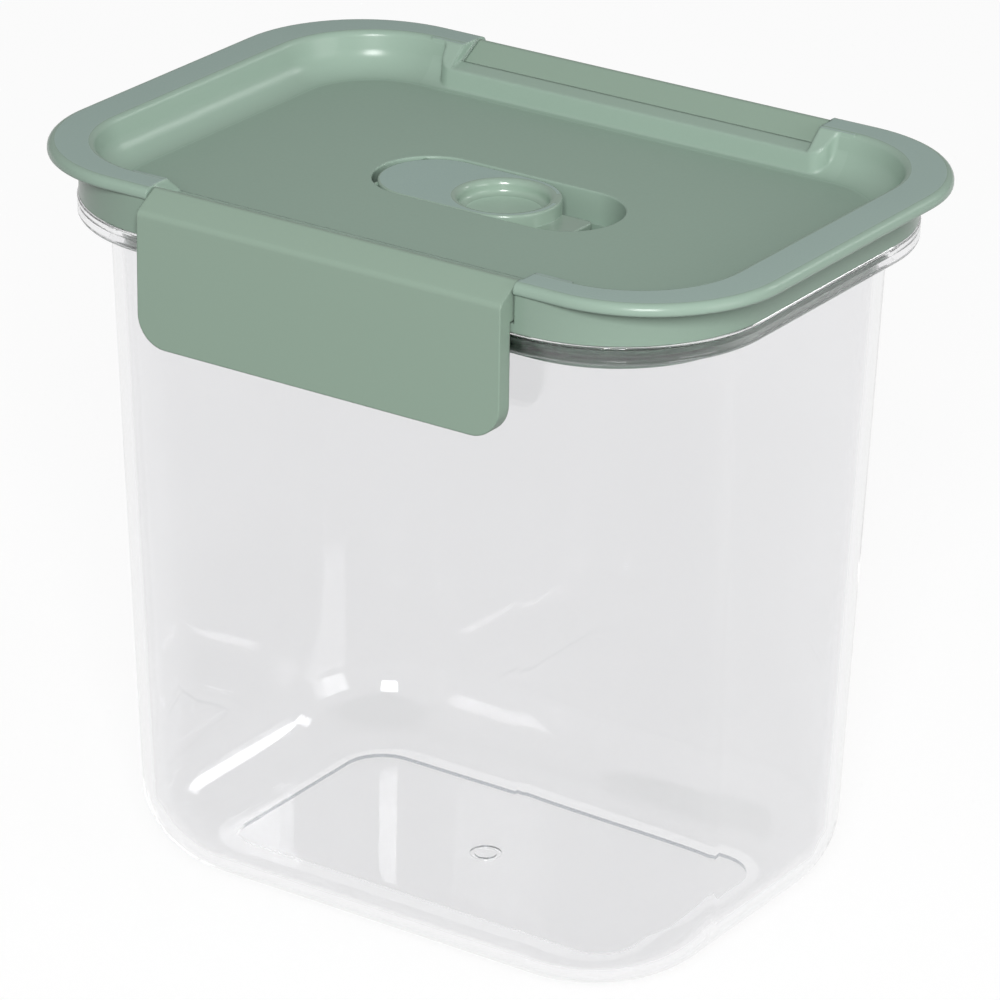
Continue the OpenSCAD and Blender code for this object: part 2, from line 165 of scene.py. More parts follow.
class Form:
    """A closed shape in the making, in millimetres, with numbered rings from its sweeps."""

    def __init__(self) -> None:
        """Starts an empty form."""
        self.mesh: BMesh = bmesh.new()
        self.rings = self.mesh.verts.layers.int.new("ring")
        self.count = 0

    def chain(self, points: Iterable[Spot], closed: bool = False) -> list[BMEdge]:
        """Lays a chain of edges, each of its points the start of a new ring.

        Args:
            points: Corners of the chain.
            closed: Whether the last corner joins the first.

        Returns:
            The chain's edges.
        """
        verts = []
        for point in points:
            vert = self.mesh.verts.new(point)
            self.count += 1
            vert[self.rings] = self.count
            verts.append(vert)
        ends = verts[1:] + verts[:1] if closed else verts[1:]
        return [self.mesh.edges.new(pair) for pair in zip(verts, ends)]

    def sweep(
        self, half: Point, section: Sequence[Point], closed: bool = False, steps: int = CORNER_STEPS
    ) -> list[int]:
        """Sweeps a section round a rounded rectangle.

        Args:
            half: Half sizes between the rectangle's corner centres.
            section: Corners of the section, as distance out from the corner centres and height.
            closed: Whether the section is a closed loop.
            steps: Faces round each corner.

        Returns:
            The ring made by each corner of the section.
        """
        first = self.count + 1
        edges = self.chain([(half[0] + r, -half[1], z) for r, z in section], closed)
        made = corners(edges)
        for corner, (sx, sy) in enumerate(((1, 1), (-1, 1), (-1, -1), (1, -1))):
            turn = Matrix.Rotation(corner * math.pi / 2, 4, "Z")
            run = 2 * (half[1] if corner % 2 == 0 else half[0])
            if run:
                edges = self.extrude(edges, turn @ Vector((0, run, 0)))
                made += corners(edges)
            before = set(self.mesh.verts)
            last = bmesh.ops.spin(
                self.mesh, geom=corners(edges) + edges, cent=(sx * half[0], sy * half[1], 0),
                axis=(0, 0, 1), angle=math.pi / 2, steps=steps,
            )["geom_last"]
            made += [v for v in self.mesh.verts if v not in before]
            edges = [g for g in last if isinstance(g, BMEdge)]
        bmesh.ops.remove_doubles(self.mesh, verts=made, dist=MERGE)
        return list(range(first, self.count + 1))

    def extrude(self, edges: list[BMEdge], move: Vector) -> list[BMEdge]:
        """Draws a sheet out of a chain of edges.

        Args:
            edges: Chain to draw out.
            move: How far and which way.

        Returns:
            The chain at the sheet's far side.
        """
        geom = bmesh.ops.extrude_edge_only(self.mesh, edges=edges)["geom"]
        verts = {g for g in geom if isinstance(g, BMVert)}
        bmesh.ops.translate(self.mesh, verts=list(verts), vec=move)
        return [g for g in geom if isinstance(g, BMEdge) and set(g.verts) <= verts]

    def loop(self, ring: int) -> list[BMEdge]:
        """Edges that run along a ring."""
        return [e for e in self.mesh.edges if e.verts[0][self.rings] == ring == e.verts[1][self.rings]]

    def join(self, a: int, b: int) -> None:
        """Bridges two rings with faces."""
        bmesh.ops.bridge_loops(self.mesh, edges=self.loop(a) + self.loop(b))

    def cap(self, ring: int) -> None:
        """Closes a ring with one face."""
        bmesh.ops.contextual_create(self.mesh, geom=self.loop(ring))

    def round_off(self, edges: Iterable[BMEdge], offset: float, segments: int) -> None:
        """Rounds edges off.

        Args:
            edges: Edges to round.
            offset: Distance from each edge to where its rounding starts.
            segments: Faces across the rounding.
        """
        bmesh.ops.bevel(
            self.mesh, geom=list(edges), offset=offset, offset_type="OFFSET", affect="EDGES",
            segments=segments, profile=0.5, material=-1, clamp_overlap=True,
        )

    def round_rings(self, *jobs: tuple[int, float, int]) -> None:
        """Closes the form and rounds off whole rings.

        Args:
            jobs: Ring, offset and segments of each rounding.
        """
        self.close()
        loops = [(self.loop(ring), offset, segments) for ring, offset, segments in jobs]
        for loop, offset, segments in loops:
            self.round_off(loop, offset, segments)

    def edges(self, test: Test) -> list[BMEdge]:
        """Edges with both ends passing a test of their place."""
        return [e for e in self.mesh.edges if all(test(v.co) for v in e.verts)]

    def rising(self, test: Test) -> list[BMEdge]:
        """Upright edges with both ends passing a test of their place."""
        return [e for e in self.edges(test) if abs(e.verts[0].co.z - e.verts[1].co.z) > RISE]

    def creases(self, test: Test, fold: float = SQUARE) -> list[BMEdge]:
        """Edges that fold by more than an angle, with both ends passing a test of their place."""
        return [e for e in self.edges(test) if e.is_manifold and e.calc_face_angle(0) > fold]

    def prism(self, outline: Sequence[Spot], move: Spot) -> None:
        """Draws a flat outline out into a closed block.

        Args:
            outline: Corners of the outline.
            move: How far and which way it is drawn.
        """
        face = bmesh.ops.contextual_create(self.mesh, geom=self.chain(outline, closed=True))["faces"]
        geom = bmesh.ops.extrude_face_region(self.mesh, geom=face, use_keep_orig=True)["geom"]
        far = [g for g in geom if isinstance(g, BMVert)]
        bmesh.ops.translate(self.mesh, verts=far, vec=move)

    def bar(self, section: Sequence[Point], half: float) -> None:
        """Adds a bar along the front side, from corners as distance out and height and its half length."""
        self.prism([(-half, -out, z) for out, z in section], (2 * half, 0, 0))

    def cuboid(self, low: Spot, high: Spot) -> None:
        """Adds a square block.

        Args:
            low: Its corner with the least of each coordinate.
            high: Its corner with the most of each coordinate.
        """
        middle = [(a + b) / 2 for a, b in zip(low, high)]
        span = [b - a for a, b in zip(low, high)]
        place = Matrix.Translation(middle) @ Matrix.Diagonal((*span, 1))
        bmesh.ops.create_cube(self.mesh, size=1, matrix=place)

    def slab(self, half: float, r: float, low: float, high: float) -> list[int]:
        """Adds an upright block with the long round-ended plan of the vent.

        Args:
            half: Half of the distance between the centres of its round ends.
            r: Radius of its round ends.
            low: Level of its lower face.
            high: Level of its upper face.

        Returns:
            The rings round its lower and upper faces.
        """
        rings = self.sweep((half, 0), [(r, low), (r, high)], steps=VENT_STEPS)
        for ring in rings:
            self.cap(ring)
        return rings

    def turn(self, profile: Sequence[Point], centre: Point, steps: int = 64) -> list[int]:
        """Turns a profile into a closed round shape about an upright axis.

        Args:
            profile: Corners from the axis round to the axis again, as radius and height.
            centre: Place of the axis.
            steps: Faces round the shape.

        Returns:
            The ring made by each corner of the profile.
        """
        first = self.count + 1
        edges = self.chain([(centre[0] + r, centre[1], z) for r, z in profile])
        bmesh.ops.spin(
            self.mesh, geom=corners(edges) + edges, cent=(*centre, 0),
            axis=(0, 0, 1), angle=2 * math.pi, steps=steps, use_merge=True,
        )
        return list(range(first, self.count + 1))

    def rod(self, a: Spot, b: Spot, r: float, chamfer: float = 0, segments: int = 32) -> None:
        """Adds a round bar between two points.

        Args:
            a: Middle of one end.
            b: Middle of the other end.
            r: Radius of the bar.
            chamfer: Rounding of its two end edges.
            segments: Faces round the bar.
        """
        run = Vector(b) - Vector(a)
        middle = Matrix.Translation((Vector(a) + Vector(b)) / 2)
        verts = bmesh.ops.create_cone(
            self.mesh, cap_ends=True, segments=segments, radius1=r, radius2=r, depth=run.length,
            matrix=middle @ run.to_track_quat("Z", "Y").to_matrix().to_4x4(),
        )["verts"]
        if chamfer:
            ends = once(f for v in verts for f in v.link_faces if len(f.verts) == segments)
            self.round_off(once(e for f in ends for e in f.edges), chamfer, Arc.SLIGHT)

    def mirror_y(self) -> None:
        """Turns the form over to the other long side."""
        bmesh.ops.scale(self.mesh, vec=(1, -1, 1), verts=self.mesh.verts)
        bmesh.ops.reverse_faces(self.mesh, faces=self.mesh.faces)

    def close(self) -> None:
        """Merges the form's seams and points its faces outwards."""
        bmesh.ops.remove_doubles(self.mesh, verts=self.mesh.verts, dist=MERGE)
        bmesh.ops.recalc_face_normals(self.mesh, faces=self.mesh.faces)

    def as_object(self, name: str) -> Object:
        """Makes an object of the form as it stands, and ends the form.

        Args:
            name: Name of the object and its mesh.

        Returns:
            The new object.
        """
        data = bpy.data.meshes.new(name)
        self.mesh.to_mesh(data)
        self.mesh.free()
        shape = bpy.data.objects.new(name, data)
        bpy.context.scene.collection.objects.link(shape)
        return shape

    def set_in(self, *others: tuple[Join, "Form"]) -> "Form":
        """Adds other forms to this one and cuts others out of it, in order.

        Args:
            others: Each form with the way in which it is set in.

        Returns:
            The joined form.
        """
        self.close()
        body = self.as_object("body_in_the_making")
        for how, other in others:
            other.close()
            tool = other.as_object("tool_in_the_making")
            step = body.modifiers.new("step", "BOOLEAN")
            step.operation = how.value
            step.solver = "EXACT"
            step.object = tool
            graph = bpy.context.evaluated_depsgraph_get()
            data = bpy.data.meshes.new_from_object(body.evaluated_get(graph))
            body.modifiers.clear()
            old, body.data = body.data, data
            bpy.data.meshes.remove(old)
            discard(tool)
        joined = Form()
        joined.mesh.from_mesh(body.data)
        discard(body)
        return joined

    def finish(self, name: str) -> Object:
        """Turns the form into a smooth-shaded object in metres.

        Args:
            name: Name of the piece.

        Returns:
            The new object.
        """
        self.close()
        bmesh.ops.scale(self.mesh, vec=(MM, MM, MM), verts=self.mesh.verts)
        for face in self.mesh.faces:
            face.smooth = True
        for edge in self.mesh.edges:
            edge.smooth = edge.calc_face_angle(0) < math.radians(SHARP)
        piece = self.as_object(name)
        weigh = piece.modifiers.new("even_shading", "WEIGHTED_NORMAL")
        weigh.keep_sharp = True
        return piece


class Signal:
    """A socket of a material's node tree, with Python's operators for Math nodes."""

    def __init__(self, recipe: "Recipe", socket: NodeSocket) -> None:
        """Wraps an output socket of a recipe."""
        self.recipe = recipe
        self.socket = socket

    def math(self, operation: str, *values: Any) -> "Signal":
        """Adds a Math node that works on values, of which one is usually this signal."""
        return self.recipe.node("ShaderNodeMath", {"operation": operation}, dict(enumerate(values)))

    def __add__(self, other: Any) -> "Signal":
        """This signal plus another."""
        return self.math("ADD", self, other)

    def __radd__(self, other: Any) -> "Signal":
        """A number plus this signal."""
        return self.math("ADD", other, self)

    def __sub__(self, other: Any) -> "Signal":
        """This signal less another."""
        return self.math("SUBTRACT", self, other)

    def __rsub__(self, other: Any) -> "Signal":
        """A number less this signal."""
        return self.math("SUBTRACT", other, self)

    def __mul__(self, other: Any) -> "Signal":
        """This signal times another."""
        return self.math("MULTIPLY", self, other)

    def __rmul__(self, other: Any) -> "Signal":
        """A number times this signal."""
        return self.math("MULTIPLY", other, self)


class Recipe:
    """A node-based material, or world, that is put together node by node."""

    def __init__(self, owner: Material | World) -> None:
        """Starts a recipe.

        Args:
            owner: Material or world that gets the nodes.
        """
        owner.use_nodes = True
        self.owner = owner
        self.tree = owner.node_tree
        self.tree.nodes.clear()

    def node(
        self,
        kind: str,
        settings: dict[str, Any] | None = None,
        inputs: dict[Any, Any] | None = None,
        out: str | int = 0,
    ) -> Signal:
        """Adds a node.

        Args:
            kind: Type of the node.
            settings: Its settings, which are set first.
            inputs: Values or signals for its sockets, by name or number.
            out: Name or number of the output to hand back.

        Returns:
            That output.
        """
        made = self.tree.nodes.new(kind)
        for key, value in (settings or {}).items():
            setattr(made, key, value)
        for key, value in (inputs or {}).items():
            if isinstance(value, Signal):
                self.tree.links.new(value.socket, made.inputs[key])
            else:
                made.inputs[key].default_value = value
        return Signal(self, made.outputs[out])

    def place(self) -> Signal:
        """Place on the piece, in metres."""
        return self.node("ShaderNodeTexCoord", out="Object")

    def ray(self, kind: str) -> Signal:
        """Whether the ray that meets the surface is of a kind."""
        return self.node("ShaderNodeLightPath", out=f"Is {kind} Ray")

    def noise(self, scale: float, detail: float = 2, roughness: float = 0.5) -> Signal:
        """Noise over the piece.

        Args:
            scale: Cells to a metre.
            detail: Finer layers that are added.
            roughness: Strength of the finer layers.

        Returns:
            The noise, from 0 to 1.
        """
        return self.node("ShaderNodeTexNoise", inputs={
            "Vector": self.place(),
            "Scale": scale,
            "Detail": detail,
            "Roughness": roughness,
        })

    def mix(self, factor: Signal, a: Colour, b: Colour) -> Signal:
        """Blends from one linear colour to another by a factor."""
        inputs = {MIX_FACTOR: factor, MIX_A: (*a, 1), MIX_B: (*b, 1)}
        return self.node("ShaderNodeMix", {"data_type": "RGBA"}, inputs, MIX_RESULT)

    def bump(self, height: Signal, depth: float, normal: Signal | None = None) -> Signal:
        """Raises a fine relief.

        Args:
            height: Height of the relief, from 0 to 1.
            depth: Depth of the relief in metres.
            normal: Normal that the relief stands on.

        Returns:
            The new normal.
        """
        inputs: dict[Any, Any] = {"Height": height, "Distance": depth, "Strength": 1.0}
        if normal:
            inputs["Normal"] = normal
        return self.node("ShaderNodeBump", inputs=inputs)

    def surface(self, shader: Signal) -> None:
        """Sets the shader that the surface shows.

        Args:
            shader: Shader to show.
        """
        kind = "World" if isinstance(self.owner, World) else "Material"
        made = self.tree.nodes.new(f"ShaderNodeOutput{kind}")
        self.tree.links.new(shader.socket, made.inputs["Surface"])


def linear(red: int, green: int, blue: int) -> Colour:
    """Turns a screen colour, from 0 to 255, into a linear one by the sRGB formula."""
    values = [c / 255 for c in (red, green, blue)]
    return tuple(c / 12.92 if c <= 0.04045 else ((c + 0.055) / 1.055) ** 2.4 for c in values)


def darker(colour: Colour, share: float) -> Colour:
    """Share of a colour's light."""
    return tuple(share * c for c in colour)


def grey(level: float) -> tuple[float, float, float, float]:
    """Opaque grey of a level, as a socket takes it."""
    return (level, level, level, 1)


@dataclass(frozen=True)
class Finish:
    """A finish of a piece, with the name of its material."""

    name: str

    def sockets(self, recipe: Recipe) -> dict[str, Any]:
        """Values and signals of the shader's sockets, which each kind of finish works out."""
        raise NotImplementedError

    def make(self) -> Material:
        """Makes the finish's material.

        Returns:
            The new material.
        """
        recipe = Recipe(bpy.data.materials.new(self.name))
        recipe.surface(recipe.node("ShaderNodeBsdfPrincipled", inputs=self.sockets(recipe)))
        return recipe.owner


@dataclass(frozen=True)
class SatinPlastic(Finish):
    """Opaque moulded plastic with a fine satin grain, softened edges and a slight drift of colour."""

    screen: Screen
    drift: int = 4
    drift_scale: float = 22
    grain_share: float = 0.35
    roughness: float = 0.24
    uneven: float = 0.1
    grain: float = 1400
    grain_depth: float = 0.000005
    edge_r: float = 0.0005
    edge_samples: int = 6
    gloss: float = 0.24

    def sockets(self, recipe: Recipe) -> dict[str, Any]:
        """Works out the plastic's colour, gloss and grain.

        Args:
            recipe: Material in the making.

        Returns:
            Values and signals of the shader's sockets.
        """
        grain = recipe.noise(self.grain, detail=3)
        patches = recipe.noise(self.drift_scale, detail=3)
        edge = recipe.node("ShaderNodeBevel", {"samples": self.edge_samples}, {"Radius": self.edge_r})
        spread = self.grain_share * grain + (1 - self.grain_share) * patches
        shade = linear(*(c - self.drift for c in self.screen))
        return {
            "Base Color": recipe.mix(spread, linear(*self.screen), shade),
            "Roughness": self.roughness - self.uneven / 2 + self.uneven * grain,
            "Specular IOR Level": self.gloss,
            "Normal": recipe.bump(grain, self.grain_depth, edge),
        }


@dataclass(frozen=True)
class ClearPlastic(Finish):
    """Thick clear moulded plastic, with a very slight waviness."""

    tint: Colour
    ior: float = 1.5
    roughness: float = 0.002
    uneven: float = 0.004
    wave: float = 28
    wave_share: float = 0.985
    wave_depth: float = 0.00003

    def sockets(self, recipe: Recipe) -> dict[str, Any]:
        """Works out the plastic's tint and waviness.

        Args:
            recipe: Material in the making.

        Returns:
            Values and signals of the shader's sockets.
        """
        wave = recipe.noise(self.wave, detail=1)
        return {
            "Base Color": recipe.mix(wave, self.tint, darker(self.tint, self.wave_share)),
            "Roughness": self.roughness + self.uneven * wave,
            "IOR": self.ior,
            "Transmission Weight": 1.0,
            "Normal": recipe.bump(wave, self.wave_depth),
        }


@dataclass(frozen=True)
class Silicone(Finish):
    """Soft matte silicone with a faint bloom."""

    colour: Colour
    roughness: float = 0.55
    uneven: float = 0.2
    bloom: float = 260
    bloom_share: float = 0.9
    bloom_depth: float = 0.00001

    def sockets(self, recipe: Recipe) -> dict[str, Any]:
        """Works out the silicone's colour and bloom.

        Args:
            recipe: Material in the making.

        Returns:
            Values and signals of the shader's sockets.
        """
        bloom = recipe.noise(self.bloom, detail=4)
        return {
            "Base Color": recipe.mix(bloom, self.colour, darker(self.colour, self.bloom_share)),
            "Roughness": self.roughness + self.uneven * bloom,
            "Normal": recipe.bump(bloom, self.bloom_depth),
        }


@dataclass(frozen=True)
class DrawnSteel(Finish):
    """Drawn steel rod with fine wear."""

    colour: Colour
    roughness: float = 0.25
    uneven: float = 0.2
    wear: float = 900
    wear_share: float = 0.8
    wear_depth: float = 0.000004

    def sockets(self, recipe: Recipe) -> dict[str, Any]:
        """Works out the steel's colour and wear.

        Args:
            recipe: Material in the making.

        Returns:
            Values and signals of the shader's sockets.
        """
        wear = recipe.noise(self.wear, detail=4, roughness=0.7)
        return {
            "Base Color": recipe.mix(wear, self.colour, darker(self.colour, self.wear_share)),
            "Metallic": 1.0,
            "Roughness": self.roughness + self.uneven * wear,
            "Normal": recipe.bump(wear, self.wear_depth),
        }


@dataclass
class Palette:
    """Finishes of the container's pieces."""

    lid: SatinPlastic = SatinPlastic("lid_satin", (135, 155, 142))
    # Copy of the lid's colour on the panel, with less gloss: its lighter colour is painted light
    panel: SatinPlastic = SatinPlastic("panel_satin_painted_light", (138, 158, 145), roughness=0.58, gloss=0.16)
    # Darker copy of the lid's colour on the skirt: painted shade
    skirt: SatinPlastic = SatinPlastic("skirt_satin_painted_shade", (127, 146, 133), drift=3)
    # Lighter copy of the lid's colour on the ridges: painted light that brightens their walls
    ridge: SatinPlastic = SatinPlastic(
        "ridge_satin_painted_light", (138, 158, 145), roughness=0.2, edge_r=0.001, gloss=0.35
    )
    # Spark-eroded grain of the rim's top, which is real, with a lighter, bluer copy of the lid's colour
    # that is painted sheen
    rim: SatinPlastic = SatinPlastic(
        "rim_sparked_painted_sheen", (145, 164, 157), drift=8, roughness=0.5, grain=1800, grain_depth=0.00003
    )
    latch: SatinPlastic = SatinPlastic("latch_satin", (130, 149, 135), drift=3, roughness=0.38)
    flap: SatinPlastic = SatinPlastic("flap_satin", (135, 155, 141), roughness=0.19, gloss=0.6)
    # Spark-eroded grain of the flap's flat top, which is real, with a lighter, bluer colour that is painted
    # sheen
    flat: SatinPlastic = SatinPlastic(
        "flap_sparked_painted_sheen", (146, 166, 159), drift=6, roughness=0.5, grain=1800, grain_depth=0.00003
    )
    # Lighter copy of the flap's colour on the dish floor: painted light
    dish: SatinPlastic = SatinPlastic("dish_satin_painted_light", (150, 172, 157), roughness=0.42, gloss=0.15)
    body: ClearPlastic = ClearPlastic("body_clear", (0.925, 0.925, 0.932))
    # Dark tint of the clear base's steps: painted shade that draws the recess's outline as a dark line
    step: ClearPlastic = ClearPlastic("body_step_painted_shade", (0.2, 0.23, 0.26))
    # Green-grey of the silicone, darkened to paint the shade round the lid's plug, seen through the flange
    silicone: Silicone = Silicone("seal_silicone_painted_shade", linear(84, 112, 94))
    steel: DrawnSteel = DrawnSteel("pin_steel_drawn", (0.62, 0.63, 0.64))


def paint(piece: Object, finishes: Sequence[Finish], pick: Callable[[MeshPolygon], Finish]) -> None:
    """Gives a piece several finishes, face by face.

    Args:
        piece: Finished piece.
        finishes: All its finishes, its main one first.
        pick: Tells the finish of a face.
    """
    for finish in finishes:
        piece.data.materials.append(finish.make())
    for face in piece.data.polygons:
        face.material_index = finishes.index(pick(face))


def hand_over(piece: Object, body: str, slot: str, *nodes: str) -> None:
    """Gives a painted piece its place in the frame.

    Args:
        piece: Finished piece.
        body: CAD body that it rides on.
        slot: Record's material slot of the piece; not used.
        nodes: CAD nodes that it stands for.
    """
    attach(piece, body)
    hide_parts(*nodes)
    LOG.info("%s: %d faces on %s", piece.name, len(piece.data.polygons), body)


@dataclass
class ContainerBody:
    """Clear body: a tapered shell with a round foot, a turned-down flange and a recess under its base."""

    corner_r: float = 28.9
    taper: float = 4.2
    wall: float = 2.2
    floor_t: float = 2.4
    foot_r: float = 16.5
    mouth_edge: float = 0.6
    flange_r: float = 32.6
    flange_t: float = 2.0
    flange_z: float = 141.6
    flange_edge: float = 0.8
    flange_top_edge: float = 0.3
    recess_core: Point = (39.5, 18.5)
    recess_r: float = 9.0
    recess_d: float = 0.8
    gate_r: float = 3.3
    gate_inner_r: float = 2.3
    gate_h: float = 0.4
    steps: int = 24

    def lean(self, form: Form, rings: Iterable[int]) -> None:
        """Leans the walls outwards from the foot to the mouth, a quarter of the plan at a time.

        Args:
            form: Form that holds the walls.
            rings: Rings of the walls above the foot.
        """
        slope = self.taper / (MOUTH_Z - self.foot_r)
        wanted = set(rings)
        walls = [v for v in form.mesh.verts if v[form.rings] in wanted]
        for sx in (-1, 1):
            for sy in (-1, 1):
                shear = Matrix.Identity(4)
                shear[0][2], shear[0][3] = sx * slope, -sx * slope * self.foot_r
                shear[1][2], shear[1][3] = sy * slope, -sy * slope * self.foot_r
                quarter = [v for v in walls if v.co.x * sx > 0 and v.co.y * sy > 0]
                bmesh.ops.transform(form.mesh, matrix=shear, verts=quarter)

    def gate(self, form: Form, recess: int) -> None:
        """Closes the recess under the base, with the low ring of the mould's gate in its middle.

        Args:
            form: Body in the making.
            recess: Ring round the recess's roof.
        """
        rim = form.loop(recess)
        circle = bmesh.ops.create_circle(form.mesh, segments=len(rim), radius=self.gate_r)["verts"]
        bmesh.ops.translate(form.mesh, verts=circle, vec=(0, 0, self.recess_d))
        foot = once(e for v in circle for e in v.link_edges)
        bmesh.ops.bridge_loops(form.mesh, edges=rim + foot)
        top = form.extrude(foot, Vector((0, 0, self.gate_h)))
        inner = form.extrude(top, Vector())
        share = self.gate_inner_r / self.gate_r
        bmesh.ops.scale(form.mesh, vec=(share, share, 1), verts=corners(inner))
        low = form.extrude(inner, Vector((0, 0, -self.gate_h)))
        bmesh.ops.contextual_create(form.mesh, geom=low)

    def build(self) -> Form:
        """Builds the body's form.

        Returns:
            The form.
        """
        form = Form()
        foot_core = (CORE[0] - self.taper, CORE[1] - self.taper)
        under_z = MOUTH_Z - self.flange_t
        inner_r = self.corner_r - self.wall
        lip_r = self.flange_r - self.flange_t
        recess, outer, flange, inner = (form.sweep(core, section, steps=self.steps) for core, section in (
            (self.recess_core, [(self.recess_r, self.recess_d), (self.recess_r, 0)]),
            (foot_core, [(self.corner_r, 0), (self.corner_r, under_z)]),
            (OUTER_CORE, [
                (lip_r, under_z), (lip_r, self.flange_z),
                (self.flange_r, self.flange_z), (self.flange_r, MOUTH_Z),
            ]),
            (foot_core, [(inner_r, MOUTH_Z), (inner_r, self.floor_t)]),
        ))
        self.lean(form, (outer[1], inner[0]))
        form.join(recess[1], outer[0])
        form.join(outer[1], flange[0])
        form.join(flange[3], inner[0])
        form.cap(inner[1])
        self.gate(form, recess[0])
        form.round_rings(
            (outer[0], self.foot_r, Arc.FOOT), (inner[1], self.foot_r - self.wall, Arc.FOOT),
            (flange[1], self.flange_edge, Arc.SOFT), (flange[2], self.flange_edge, Arc.SOFT),
            (flange[3], self.flange_top_edge, Arc.SOFT), (inner[0], self.mouth_edge, Arc.SLIGHT),
            (outer[1], self.mouth_edge, Arc.SLIGHT),
        )
        return form

    def finish_of(self, face: MeshPolygon, palette: Palette) -> Finish:
        """Tells the finish of a face: painted shade, a dark tint on the steps of the base on the sides
        where their line shows dark.

        Args:
            face: Face of the body.
            palette: Finishes of the pieces.

        Returns:
            The face's finish.
        """
        x, y = self.recess_core
        place = face.center / MM
        # Painted shade: only the steps off the front and the right end get the dark tint
        step = abs(face.normal.z) < UPRIGHT and place.z < self.recess_d + self.gate_h
        shows = place.y > y or (place.x < x and place.y > -y)
        return palette.step if step and shows else palette.body

    def dress(self, palette: Palette) -> None:
        """Builds the body and gives it its finishes.

        Args:
            palette: Finishes of the pieces.
        """
        shell = self.build().finish("container_shell")
        paint(shell, (palette.body, palette.step), lambda face: self.finish_of(face, palette))
        hand_over(shell, "container", "clear_plastic", "container_body")


@dataclass
class Lid:
    """Lid: a sunken well in a wide rim, a skirt and a plug, a notch and ridge by each latch, and a vent."""

    rim_core: Point = (52.7, 28.2)
    rim_r: float = 29.8
    rim_edge: float = 1.5
    rim_under_edge: float = 0.5
    well_core: Point = (50.4, 28.2)
    well_r: float = 22.3
    well_draft: float = 2.0
    well_fillet: float = 5.2
    well_edge: float = 1.1
    skirt_r: float = 32.3
    skirt_edge: float = 0.15
    skirt_facing: float = 0.5
    plug_r: float = 25.95
    plug_t: float = 3.4
    plug_z: float = 137.8
    plug_edge: float = 0.6
    groove: Point = (139.2, 142.6)
    groove_d: float = 1.6
    panel_under_z: float = 144.9
    notch_o: float = 49.6
    notch_z: float = 147.3
    notch_half: float = 42.75
    notch_reach: float = 20.0
    ridge_o: float = 45.7
    ridge_z: float = 151.5
    ridge_edge_z: float = 152.3
    ridge_half: float = 45.95
    ridge_gap: float = 0.35
    ridge_rise_o: float = 50.6
    ridge_splay: float = 1.3
    ridge_r: float = 2.4
    ridge_blend_r: float = 1.9
    ridge_draft: float = 0.11
    ridge_edge: float = 0.8
    ridge_crease: float = 0.6
    ridge_below_top: float = 0.1
    ridge_in_wall: float = 0.05
    ridge_end_spare: float = 0.3
    # How far the ridge's finish, a lighter copy of the lid's colour that paints light onto the ridges,
    # starts above the panel, and inside the ridge's edge
    ridge_finish_up: float = 0.2
    ridge_finish_in: float = 1.0
    # Bounds of the ridge's edges that are rounded: beside its inner edge, past the notch, short of the rim
    edge_beside: float = 0.5
    edge_past: float = 1.0
    edge_short: float = 0.4
    edge_under: float = 0.3
    crest_o: float = 55.5
    pin_half: float = 46.65
    vent_c: float = 15.85
    vent_r: float = 12.0
    vent_z: float = 140.2
    vent_wall: float = 2.2
    vent_wall_drop: float = 0.5
    vent_edge: float = 0.3
    vent_hole_r: float = 3.0
    vent_pin_half: float = 10.64
    over: float = 4.0

    def shell(self) -> Form:
        """Lid before its notches, ridges and vent.

        Returns:
            The form.
        """
        form = Form()
        well = form.sweep(self.well_core, [(self.well_r - self.well_draft, PANEL_Z), (self.well_r, TOP_Z)])
        rim = form.sweep(self.rim_core, [(self.rim_r, TOP_Z), (self.rim_r, LIP_Z)])
        skirt = form.sweep(OUTER_CORE, [(self.skirt_r, LIP_Z), (self.skirt_r, SEAT_Z)])
        low, high = self.groove
        deep = self.plug_r - self.groove_d
        inside = self.plug_r - self.plug_t
        plug = form.sweep(CORE, [
            (self.plug_r, SEAT_Z), (self.plug_r, high), (deep, high), (deep, low), (self.plug_r, low),
            (self.plug_r, self.plug_z), (inside, self.plug_z), (inside, self.panel_under_z),
        ])
        form.cap(well[0])
        form.join(well[1], rim[0])
        form.join(rim[1], skirt[0])
        form.join(skirt[1], plug[0])
        form.cap(plug[-1])
        form.round_rings(
            (well[0], self.well_fillet, Arc.CORNER), (well[1], self.well_edge, Arc.SOFT),
            (rim[0], self.rim_edge, Arc.BROAD), (rim[1], self.rim_under_edge, Arc.SLIGHT),
            (skirt[1], self.skirt_edge, Arc.HAIR), (plug[5], self.plug_edge, Arc.SLIGHT),
            (plug[6], self.plug_edge, Arc.SLIGHT),
        )
        return form

    def ridge(self) -> Form:
        """Block of the ridge beside the front latch, which blends into the well's sloping wall at its ends.

        Returns:
            The block.
        """
        low, high = PANEL_Z - PAST, TOP_Z - self.ridge_below_top
        slope = self.well_draft / (TOP_Z - PANEL_Z)
        wall = self.well_core[1] + self.well_r - slope * (TOP_Z - low) + self.ridge_in_wall
        face = self.ridge_o - self.ridge_draft * (self.ridge_z - low)
        h, back = self.ridge_half, self.crest_o
        end, far = h + self.ridge_splay, h + self.ridge_splay + self.over
        form = Form()
        form.prism([
            (-far, -back, low), (-far, -wall, low), (-end, -wall, low), (-h, -face, low),
            (h, -face, low), (end, -wall, low), (far, -wall, low), (far, -back, low),
        ], (0, 0, high - low))
        for place, tilt in ((wall, slope), (face, self.ridge_draft)):
            lean = [v for v in form.mesh.verts if v.co.z > low + NEAR and abs(v.co.y + place) < NEAR]
            bmesh.ops.translate(form.mesh, verts=lean, vec=(0, -tilt * (high - low), 0))
        for place, offset in ((h, self.ridge_r), (end, self.ridge_blend_r)):
            form.round_off(form.rising(lambda p: abs(abs(p.x) - place) < NEAR), offset, Arc.BLEND)
        return form

